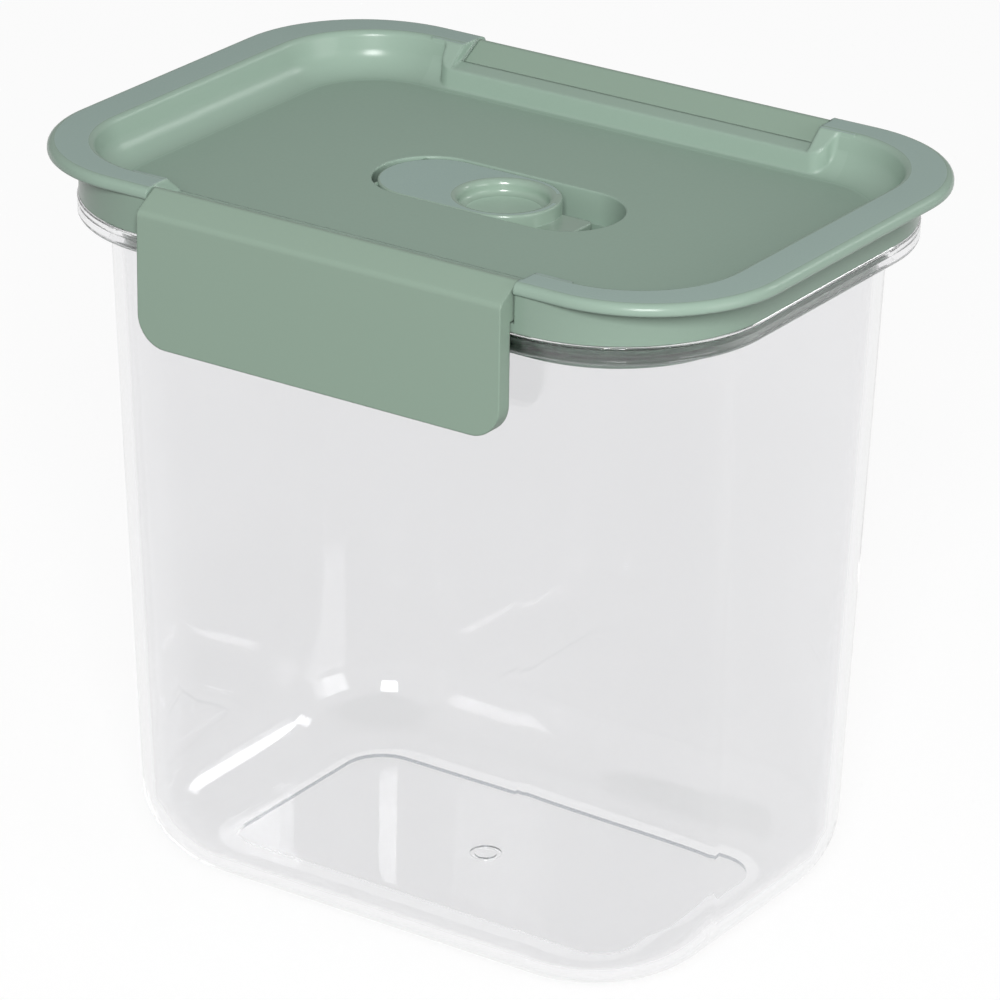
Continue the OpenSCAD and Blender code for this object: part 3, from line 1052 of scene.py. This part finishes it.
    def ridge_space(self) -> Form:
        """Space over the front ridge and the slope under the latch.

        Returns:
            The space.
        """
        near, top = self.ridge_o - self.over, TOP_Z + self.over
        form = Form()
        form.bar([
            (near, self.ridge_z), (self.ridge_o, self.ridge_z), (self.notch_o, self.ridge_edge_z),
            (self.crest_o, TOP_Z), (self.crest_o, top), (near, top),
        ], self.notch_half + self.ridge_gap)
        return form

    def ridge_end_space(self) -> Form:
        """Space over the front ridge's ends, which rise to the rim.

        Returns:
            The space.
        """
        near, top = self.ridge_o - self.over, TOP_Z + self.over
        form = Form()
        form.bar([
            (near, self.ridge_z), (self.ridge_o, self.ridge_z), (self.ridge_rise_o, TOP_Z),
            (self.ridge_rise_o, top), (near, top),
        ], self.ridge_half + self.ridge_splay + self.ridge_blend_r + self.ridge_end_spare)
        return form

    def notch(self) -> Form:
        """Space that the front latch lies in.

        Returns:
            The space.
        """
        form = Form()
        form.cuboid(
            (-self.notch_half, -self.notch_o - self.notch_reach, self.notch_z),
            (self.notch_half, -self.notch_o, self.notch_z + self.notch_reach),
        )
        return form

    def bore(self) -> Form:
        """Bore of the front latch's pin.

        Returns:
            The bore.
        """
        form = Form()
        form.rod(on_hinge(-self.pin_half), on_hinge(self.pin_half), HINGE_R + TURNING_GAP)
        return form

    def fittings(self) -> list[tuple[Join, Form]]:
        """Ridges, notches and bores of both latches.

        Returns:
            Each form with the way in which it is set into the lid.
        """
        steps = []
        for side in Side:
            for how, make in (
                (Join.ADD, self.ridge), (Join.CUT, self.ridge_space), (Join.CUT, self.ridge_end_space),
                (Join.CUT, self.notch), (Join.CUT, self.bore),
            ):
                tool = make()
                if side is Side.REAR:
                    tool.mirror_y()
                steps.append((how, tool))
        return steps

    def vent(self) -> list[tuple[Join, Form]]:
        """Pocket of the vent, with its hole and the bore of its pin.

        Returns:
            Each form with the way in which it is set into the lid.
        """
        pocket, recess, hole, bore = Form(), Form(), Form(), Form()
        low, high = self.vent_z - self.vent_wall, PANEL_Z - self.vent_wall_drop
        pocket.slab(self.vent_c, self.vent_r + self.vent_wall, low, high)
        recess.slab(self.vent_c, self.vent_r, self.vent_z, PANEL_Z + self.over)
        under, above = self.vent_z - self.over, self.vent_z + self.over / 2
        hole.rod((CUP_X, 0, under), (CUP_X, 0, above), self.vent_hole_r)
        ends = (on_vent_hinge(-self.vent_pin_half), on_vent_hinge(self.vent_pin_half))
        bore.rod(*ends, VENT_HINGE_R + TURNING_GAP)
        return [(Join.ADD, pocket), (Join.CUT, recess), (Join.CUT, hole), (Join.CUT, bore)]

    def build(self) -> Form:
        """Builds the lid's form.

        Returns:
            The form.
        """
        form = self.shell().set_in(*self.fittings(), *self.vent())
        form.close()
        ridges = [e for e in form.creases(self.on_ridge_edge, self.ridge_crease) if e.is_convex]
        form.round_off(ridges, self.ridge_edge, Arc.BROAD)
        form.round_off(form.creases(self.on_vent_edge), self.vent_edge, Arc.SLIGHT)
        return form

    def on_ridge(self, p: Vector) -> bool:
        """Whether a place is on a ridge or on the slope at its ends.

        Args:
            p: Place in millimetres.

        Returns:
            Whether it is.
        """
        beside = abs(p.x) < self.ridge_half + self.ridge_splay + self.ridge_blend_r
        across = self.ridge_o - self.ridge_finish_in < abs(p.y) < self.crest_o
        return beside and across and p.z > PANEL_Z + self.ridge_finish_up

    def on_ridge_edge(self, p: Vector) -> bool:
        """Whether a place is on the inner edge of a ridge, or on the rising edge at its ends.

        Args:
            p: Place in millimetres.

        Returns:
            Whether it is.
        """
        inner = abs(abs(p.y) - self.ridge_o) < self.edge_beside
        rising = self.ridge_o - LOOSE < abs(p.y) < self.ridge_rise_o - self.edge_short
        end = abs(p.x) > self.notch_half + self.edge_past and rising
        return self.ridge_z - LOOSE < p.z < TOP_Z - self.edge_under and (inner or end)

    def on_vent_edge(self, p: Vector) -> bool:
        """Whether a place is on the edge of the vent's recess."""
        return abs(p.z - PANEL_Z) < NEAR and abs(p.y) < self.vent_r + LOOSE

    def finish_of(self, face: MeshPolygon, palette: Palette) -> Finish:
        """Tells the finish of a face.

        Args:
            face: Face of the lid.
            palette: Finishes of the pieces.

        Returns:
            The face's finish.
        """
        place = face.center / MM
        level = face.normal.z > LEVEL
        outward = face.normal.xy.dot(place.xy) > self.skirt_facing * place.xy.length
        # The rim's top takes the grained finish with its painted sheen
        if level and place.z > TOP_Z - self.ridge_below_top - NEAR:
            return palette.rim
        # The panel takes its lighter copy, painted light
        if level and abs(place.z - PANEL_Z) < LEVEL_BAND:
            return palette.panel
        # Outward faces of the skirt take the darker copy, painted shade
        if outward and SEAT_Z < place.z < LIP_Z:
            return palette.skirt
        # Ridge faces take the lighter copy, painted light
        return palette.ridge if self.on_ridge(place) else palette.lid

    def dress(self, palette: Palette) -> None:
        """Builds the lid and gives it its finishes.

        Args:
            palette: Finishes of the pieces.
        """
        lid = self.build().finish("lid_shell")
        finishes = (palette.lid, palette.rim, palette.skirt, palette.ridge, palette.panel)
        paint(lid, finishes, lambda face: self.finish_of(face, palette))
        hand_over(lid, "lid", "lid_plastic", "lid")


@dataclass
class Gasket:
    """Silicone ring with two lips, in the groove of the lid's plug."""

    inner_r: float = 24.37
    band_r: float = 25.35
    lip_r: float = 26.25
    low: float = 139.3
    high: float = 142.5
    lip_h: float = 1.0
    lip_edge: float = 0.35

    def dress(self, palette: Palette) -> None:
        """Builds the ring and gives it its finish.

        Args:
            palette: Finishes of the pieces.
        """
        lower, upper = self.low + self.lip_h, self.high - self.lip_h
        form = Form()
        rings = form.sweep(CORE, [
            (self.inner_r, self.low), (self.lip_r, self.low), (self.lip_r, lower), (self.band_r, lower),
            (self.band_r, upper), (self.lip_r, upper), (self.lip_r, self.high), (self.inner_r, self.high),
        ], closed=True)
        lips = (*rings[1:3], *rings[5:7])
        form.round_rings(*((ring, self.lip_edge, Arc.SLIGHT) for ring in lips))
        ring = form.finish("gasket_ring")
        ring.data.materials.append(palette.silicone.make())
        hand_over(ring, "lid", "silicone", "lid_gasket")


@dataclass
class Latch:
    """Latch with its hinge pin: a folded plate with turned-in edges, three knuckles and a hook."""

    side: Side
    half: float = 42.4
    inner: Point = (49.8, 152.3)
    crest: Point = (55.5, 155.6)
    fold: Point = (61.5, 152.0)
    bottom_z: float = 124.7
    back_o: float = 58.1
    plate: float = 2.2
    edge: float = 1.9
    corner_r: float = 6.5
    fold_edge: float = 0.9
    rim_edge: float = 0.7
    crest_edge: float = 0.8
    # Least outward part of the outer face's normal, and most of a side's
    outer_facing: float = 0.9
    side_facing: float = 0.1
    # How far the hollow's roof stays under the fold, and falls where it runs out past the inner edge
    hollow_drop: float = 0.9
    hollow_fall: float = 0.58
    cheek_z: float = 147.8
    knuckle_r: float = 4.2
    knuckle_l: float = 11.0
    knuckle_drop: float = 0.3
    knuckle_steps: int = 48
    hook: tuple[float, float, float, float] = (55.9, 60.0, 138.1, 141.0)
    hook_half: float = 37.4
    hook_lead: float = 0.5
    hook_edge: float = 0.3
    pin_half: float = 46.35
    pin_chamfer: float = 0.25

    def low_corners(self, form: Form, half: float, low: float) -> list[BMEdge]:
        """Edges at the two lower corners of a form.

        Args:
            form: Form of the latch.
            half: Half of the form's length.
            low: Level of its lower side.

        Returns:
            The edges.
        """
        found = []
        for way in (1, -1):
            found += form.edges(lambda p: way * p.x > half - NEAR and p.z < low + NEAR)
        return found

    def along(self, form: Form, corner: Point) -> list[BMEdge]:
        """Edges of a form that run along a corner of the latch's section."""
        return form.edges(lambda p: abs(p.y + corner[0]) < NEAR and abs(p.z - corner[1]) < NEAR)

    def on_rim(self, edge: BMEdge) -> bool:
        """Whether an edge lies between the latch's outer face and a side.

        Args:
            edge: Edge of the latch's block.

        Returns:
            Whether it does.
        """
        turns = [face.normal.y for face in edge.link_faces]
        outer = any(turn < -self.outer_facing for turn in turns)
        side = any(abs(turn) < self.side_facing for turn in turns)
        return len(turns) == 2 and outer and side

    def block(self) -> Form:
        """Outside of the latch, with its rounded corners and edges.

        Returns:
            The block.
        """
        form = Form()
        form.bar([
            self.inner, self.crest, self.fold, (self.fold[0], self.bottom_z),
            (self.back_o, self.bottom_z), (self.back_o, self.cheek_z), (HINGE[0], self.cheek_z),
            (self.inner[0], self.inner[1] - self.plate),
        ], self.half)
        form.close()
        form.round_off(self.low_corners(form, self.half, self.bottom_z), self.corner_r, Arc.CORNER)
        form.round_off(self.along(form, self.fold), self.fold_edge, Arc.SOFT)
        form.round_off([e for e in form.mesh.edges if self.on_rim(e)], self.rim_edge, Arc.SOFT)
        form.round_off(self.along(form, self.crest), self.crest_edge, Arc.SLIGHT)
        return form

    def hollow(self) -> Form:
        """Space behind the latch's plate.

        Returns:
            The space.
        """
        inside = self.half - self.edge
        low, foot = self.bottom_z + self.edge, self.cheek_z - PAST
        back, front = self.back_o - 2 * PAST, self.fold[0] - self.plate
        end = self.inner[0] - PAST
        form = Form()
        form.bar([
            (back, low), (front, low), (front, self.fold[1] - self.hollow_drop),
            (self.crest[0], self.crest[1] - self.plate),
            (end, self.inner[1] - self.plate - self.hollow_fall), (end, foot), (back, foot),
        ], inside)
        form.close()
        form.round_off(self.low_corners(form, inside, low), self.corner_r - self.edge, Arc.BLEND)
        return form

    def knuckle(self, x: float) -> Form:
        """Knuckle round the hinge pin, cut off under the latch's top.

        Args:
            x: Place of its middle along the latch.

        Returns:
            The knuckle.
        """
        form = Form()
        ends = (on_hinge(x - self.knuckle_l / 2), on_hinge(x + self.knuckle_l / 2))
        form.rod(*ends, self.knuckle_r, segments=self.knuckle_steps)
        roof = [Vector((0, -out, z)) for out, z in (self.inner, self.crest, self.fold)]
        for a, b in zip(roof, roof[1:]):
            bmesh.ops.bisect_plane(
                form.mesh, geom=form.mesh.verts[:] + form.mesh.edges[:] + form.mesh.faces[:],
                plane_co=a - Vector((0, 0, self.knuckle_drop)), plane_no=(b - a).cross(Vector((1, 0, 0))),
                clear_outer=True,
            )
            bmesh.ops.holes_fill(form.mesh, edges=[e for e in form.mesh.edges if e.is_boundary])
        return form

    def clasp(self) -> Form:
        """Hook that snaps under the body's flange.

        Returns:
            The hook.
        """
        near, far, low, high = self.hook
        form = Form()
        form.bar([
            (near, low + self.hook_lead), (near + self.hook_lead, low), (far, low), (far, high),
            (near + self.hook_edge, high), (near, high - self.hook_edge),
        ], self.hook_half)
        return form

    def build(self) -> Form:
        """Builds the latch's form on its own side.

        Returns:
            The form.
        """
        reach = self.half - self.knuckle_l / 2 - SHY
        bore = Form()
        bore.rod(on_hinge(-self.half - PAST), on_hinge(self.half + PAST), HINGE_R + FIXED_GAP)
        knuckles = [(Join.ADD, self.knuckle(x)) for x in (-reach, 0, reach)]
        form = self.block().set_in(
            (Join.CUT, self.hollow()), *knuckles, (Join.ADD, self.clasp()), (Join.CUT, bore)
        )
        if self.side is Side.REAR:
            form.mirror_y()
        return form

    def pin(self) -> Form:
        """Builds the hinge pin's form.

        Returns:
            The form.
        """
        form = Form()
        ends = (on_hinge(-self.pin_half, self.side), on_hinge(self.pin_half, self.side))
        form.rod(*ends, HINGE_R, self.pin_chamfer)
        return form

    def dress(self, palette: Palette) -> None:
        """Builds the latch and its pin and gives them their finishes.

        Args:
            palette: Finishes of the pieces.
        """
        where = self.side.name.lower()
        latch = self.build().finish(f"{where}_latch_plate")
        latch.data.materials.append(palette.latch.make())
        hand_over(latch, f"{where}_latch", "latch_plastic", f"{where}_latch")
        pin = self.pin().finish(f"{where}_latch_pin")
        pin.data.materials.append(palette.steel.make())
        hand_over(pin, f"{where}_latch", "pin_steel", f"{where}_hinge_pin")


@dataclass
class VentFlap:
    """Vent flap with its hinge pin and its silicone plug: a plate with a dished cup and a lifting tab."""

    r: float = 11.65
    top: float = 146.8
    plate_t: float = 2.0
    hinge_c: float = -14.95
    plate_edge: float = 0.45
    cup_z: float = 141.9
    cup_edge: float = 1.15
    cup_foot_edge: float = 0.5
    cup_steps: int = 96
    dish_r: float = 9.0
    dish_d: float = 3.3
    dish_power: float = 4.2
    dish_lip: float = 1.3
    dish_steps: int = 20
    dish_level: float = 0.97
    tab_end: float = 19.55
    tab_w: float = 9.8
    tab: Point = (142.3, 143.8)
    tab_corner_r: float = 1.2
    tab_edge: float = 0.35
    pin_half: float = 10.34
    pin_chamfer: float = 0.12
    pad_r: float = 5.5
    pad_z: float = 140.5
    pad_edge: float = 0.4
    stem_r: float = 2.0
    stem_h: float = 1.1
    nose_r: float = 2.2
    nose_h: float = 1.6

    def plate(self) -> Form:
        """Flat of the flap, round at its hinged end.

        Returns:
            The plate.
        """
        form = Form()
        half = (CUP_X - self.hinge_c) / 2
        rings = form.slab(half, self.r - SHY, self.top - self.plate_t, self.top)
        bmesh.ops.translate(form.mesh, verts=form.mesh.verts, vec=((CUP_X + self.hinge_c) / 2, 0, 0))
        form.round_rings((rings[1], self.plate_edge, Arc.SLIGHT))
        return form

    def cup(self) -> Form:
        """Cup at the flap's free end, still solid.

        Returns:
            The cup.
        """
        form = Form()
        profile = [(0, self.cup_z), (self.r, self.cup_z), (self.r, self.top), (0, self.top)]
        rings = form.turn(profile, (CUP_X, 0), self.cup_steps)
        form.round_rings((rings[1], self.cup_foot_edge, Arc.SOFT), (rings[2], self.cup_edge, Arc.CUP))
        return form

    def dish(self) -> Form:
        """Round shape that hollows the dish out: flat in the middle, upright at its side, round at its lip.

        Returns:
            The shape.
        """
        pan, lip = [], []
        edge = self.top - self.dish_lip
        for i in range(self.dish_steps + 1):
            angle = math.pi / 2 * i / self.dish_steps
            sine, cosine = math.sin(angle), max(math.cos(angle), 0)
            out, down = sine ** (2 / self.dish_power), cosine ** (2 / self.dish_power)
            pan.append((out * self.dish_r, edge - down * (self.dish_d - self.dish_lip)))
            lip.append((self.dish_r + self.dish_lip * (1 - cosine), edge + self.dish_lip * sine))
        above = self.top + PAST
        form = Form()
        form.turn(pan + lip[1:] + [(lip[-1][0], above), (0, above)], (CUP_X, 0), self.cup_steps)
        return form

    def lifting_tab(self) -> Form:
        """Tab that a fingertip lifts.

        Returns:
            The tab.
        """
        low, high = self.tab
        form = Form()
        form.cuboid((CUP_X, -self.tab_w / 2, low), (self.tab_end, self.tab_w / 2, high))
        form.round_off(form.rising(lambda p: p.x > self.tab_end - NEAR), self.tab_corner_r, Arc.BROAD)
        form.round_off(form.creases(lambda p: p.z > high - NEAR), self.tab_edge, Arc.SLIGHT)
        return form

    def build(self) -> Form:
        """Builds the flap's form.

        Returns:
            The form.
        """
        bore, socket = Form(), Form()
        bore.rod(on_vent_hinge(-self.r - PAST), on_vent_hinge(self.r + PAST), VENT_HINGE_R + FIXED_GAP)
        under, above = self.cup_z - PAST, self.cup_z + self.stem_h + FIXED_GAP
        socket.rod((CUP_X, 0, under), (CUP_X, 0, above), self.stem_r + FIXED_GAP)
        return self.cup().set_in(
            (Join.ADD, self.plate()), (Join.ADD, self.lifting_tab()), (Join.CUT, self.dish()),
            (Join.CUT, bore), (Join.CUT, socket),
        )

    def stopper(self) -> Form:
        """Silicone plug under the cup.

        Returns:
            The plug.
        """
        nose_z, stem_z = self.pad_z - self.nose_h, self.cup_z + self.stem_h
        form = Form()
        rings = form.turn([
            (0, nose_z), (self.nose_r, nose_z), (self.nose_r, self.pad_z), (self.pad_r, self.pad_z),
            (self.pad_r, self.cup_z), (self.stem_r, self.cup_z), (self.stem_r, stem_z), (0, stem_z),
        ], (CUP_X, 0))
        form.round_rings(*((ring, self.pad_edge, Arc.SLIGHT) for ring in (rings[1], rings[3])))
        return form

    def finish_of(self, face: MeshPolygon, palette: Palette) -> Finish:
        """Tells the finish of a face.

        Args:
            face: Face of the flap.
            palette: Finishes of the pieces.

        Returns:
            The face's finish.
        """
        place = face.center / MM
        reach = min(face.id_data.vertices[i].co.x for i in face.vertices) / MM
        from_cup = (place.xy - Vector((CUP_X, 0))).length
        # The flat top takes the grained finish with its painted sheen
        if face.normal.z > LEVEL and place.z > self.top - LOOSE and reach < CUP_X - self.r:
            return palette.flat
        # The dish floor takes the lighter copy, painted light
        in_dish = from_cup < self.dish_r and place.z < self.top - self.dish_lip
        return palette.dish if in_dish and face.normal.z > self.dish_level else palette.flap

    def dress(self, palette: Palette) -> None:
        """Builds the flap, its pin and its plug and gives them their finishes.

        Args:
            palette: Finishes of the pieces.
        """
        plate = self.build().finish("vent_flap_plate")
        finishes = (palette.flap, palette.flat, palette.dish)
        paint(plate, finishes, lambda face: self.finish_of(face, palette))
        hand_over(plate, "vent_flap", "flap_plastic", "vent_flap")
        form = Form()
        ends = (on_vent_hinge(-self.pin_half), on_vent_hinge(self.pin_half))
        form.rod(*ends, VENT_HINGE_R, self.pin_chamfer)
        pin = form.finish("vent_flap_pin")
        pin.data.materials.append(plate.data.materials[0])
        hand_over(pin, "vent_flap", "flap_plastic", "vent_hinge_pin")
        stopper = self.stopper().finish("vent_stopper")
        stopper.data.materials.append(palette.silicone.make())
        hand_over(stopper, "vent_flap", "silicone", "vent_plug")


@dataclass(frozen=True)
class Lamp:
    """Soft rectangular studio lamp, aimed at a point."""

    name: str
    place: Spot
    size: Point
    watts: float
    aim: Spot = (0, 0, 0.1)
    lights: bool = True

    def hang(self) -> None:
        """Hangs the lamp."""
        data = bpy.data.lights.new(self.name, "AREA")
        data.shape = "RECTANGLE"
        data.size, data.size_y = self.size
        data.energy = self.watts
        lamp = bpy.data.objects.new(self.name, data)
        lamp.location = self.place
        lamp.visible_diffuse = self.lights
        lamp.rotation_mode = "QUATERNION"
        lamp.rotation_quaternion = (Vector(self.aim) - Vector(self.place)).to_track_quat("-Z", "Y")
        bpy.context.scene.collection.objects.link(lamp)


@dataclass
class Studio:
    """White floor, soft lamps and the camera at the photograph's angle."""

    floor_half: float = 4.0
    floor_glow: float = 0.9
    floor_through: float = 0.8
    floor_pale: float = 0.95
    floor_bounce: float = 0.05
    zenith: float = 0.2
    horizon: float = 1.25
    mirrored_sky: float = 0.4
    mirrored_floor: float = 0.95
    azimuth: float = 33.96
    elevation: float = 23.22
    roll: float = 0.846
    focal_pixels: float = 5611
    image_pixels: float = 1000
    sensor: float = 36
    sight: float = 20
    eye: Spot = (0.5826, -0.8627, 0.5277)
    clear_bounces: int = 128
    lamps: tuple[Lamp, ...] = field(default_factory=lambda: (
        Lamp("key", (0.79, -1.171, 0.90), (0.42, 0.5), 28),
        Lamp("side", (1.565, 0.0, 0.48), (0.8, 0.8), 6.5),
        Lamp("card", (0.79, 1.171, 0.90), (0.28, 0.4), 2.3, lights=False),
    ))

    def seen(self, recipe: Recipe) -> Signal:
        """Whether a ray shows the background as it is: a camera ray or one through the clear body."""
        camera = recipe.ray("Camera")
        return camera.math("MAXIMUM", camera, recipe.ray("Transmission"))

    def floor(self) -> None:
        """Lays the pale floor, which keeps the object's shadow and throws little light back up."""
        form = Form()
        bmesh.ops.create_grid(form.mesh, x_segments=1, y_segments=1, size=self.floor_half)
        floor = form.as_object("studio_floor")
        recipe = Recipe(bpy.data.materials.new("floor_white"))
        dim = recipe.node("ShaderNodeBsdfDiffuse", inputs={"Color": grey(self.floor_bounce)})
        pale = recipe.node("ShaderNodeBsdfDiffuse", inputs={"Color": grey(self.floor_pale)})
        glow = recipe.node("ShaderNodeEmission", inputs={"Color": grey(1), "Strength": 1.0})
        share = self.floor_glow - (self.floor_glow - self.floor_through) * recipe.ray("Transmission")
        white = recipe.node("ShaderNodeMixShader", inputs={0: share, 1: pale, 2: glow})
        glossy = recipe.ray("Glossy")
        shown = glossy.math("MAXIMUM", self.seen(recipe), glossy * self.mirrored_floor)
        recipe.surface(recipe.node("ShaderNodeMixShader", inputs={0: shown, 1: dim, 2: white}))
        floor.data.materials.append(recipe.owner)

    def backdrop(self) -> None:
        """Sets the surroundings: white to look at, dimmer in reflections and dimmest overhead."""
        world = bpy.data.worlds.new("studio_white")
        bpy.context.scene.world = world
        recipe = Recipe(world)
        seen = self.seen(recipe)
        glossy = recipe.ray("Glossy")
        view = recipe.node("ShaderNodeTexCoord", out="Generated")
        up = recipe.node("ShaderNodeSeparateXYZ", inputs={0: view}, out="Z")
        low = 1 - up.math("ABSOLUTE", up)
        lit = self.zenith + (self.horizon - self.zenith) * (low * low)
        unseen = glossy * self.mirrored_sky + (1 - glossy) * lit
        strength = seen + (1 - seen) * unseen
        recipe.surface(recipe.node("ShaderNodeBackground", inputs={"Color": grey(1), "Strength": strength}))

    def camera(self) -> None:
        """Sets the camera at the photograph's angle."""
        az, el, roll = (math.radians(v) for v in (self.azimuth, self.elevation, self.roll))
        back = Vector((math.sin(az) * math.cos(el), -math.cos(az) * math.cos(el), math.sin(el)))
        data = bpy.data.cameras.new("photo_camera")
        data.sensor_width = self.sensor
        data.lens = self.focal_pixels * self.sensor / self.image_pixels
        data.clip_end = self.sight
        camera = bpy.data.objects.new("photo_camera", data)
        camera.location = self.eye
        camera.rotation_mode = "QUATERNION"
        camera.rotation_quaternion = (-back).to_track_quat("-Z", "Y") @ Quaternion((0, 0, 1), roll)
        bpy.context.scene.collection.objects.link(camera)
        bpy.context.scene.camera = camera

    def light_paths(self) -> None:
        """Lets light turn often enough inside the clear plastic to find its way out."""
        paths = bpy.context.scene.cycles
        paths.max_bounces = paths.glossy_bounces = paths.transmission_bounces = self.clear_bounces

    def set_up(self) -> None:
        """Sets the whole studio up."""
        bpy.context.scene.view_settings.view_transform = "Standard"
        self.light_paths()
        self.floor()
        self.backdrop()
        self.camera()
        for lamp in self.lamps:
            lamp.hang()


def main() -> None:
    """Builds the container's pieces in order and sets the studio up."""
    logging.basicConfig(level=logging.INFO, format="%(name)s: %(message)s")
    palette = Palette()
    for part in (ContainerBody(), Lid(), Gasket(), Latch(Side.FRONT), Latch(Side.REAR), VentFlap()):
        part.dress(palette)
    Studio().set_up()
    bpy.context.view_layer.update()


if __name__ == "__main__":
    main()
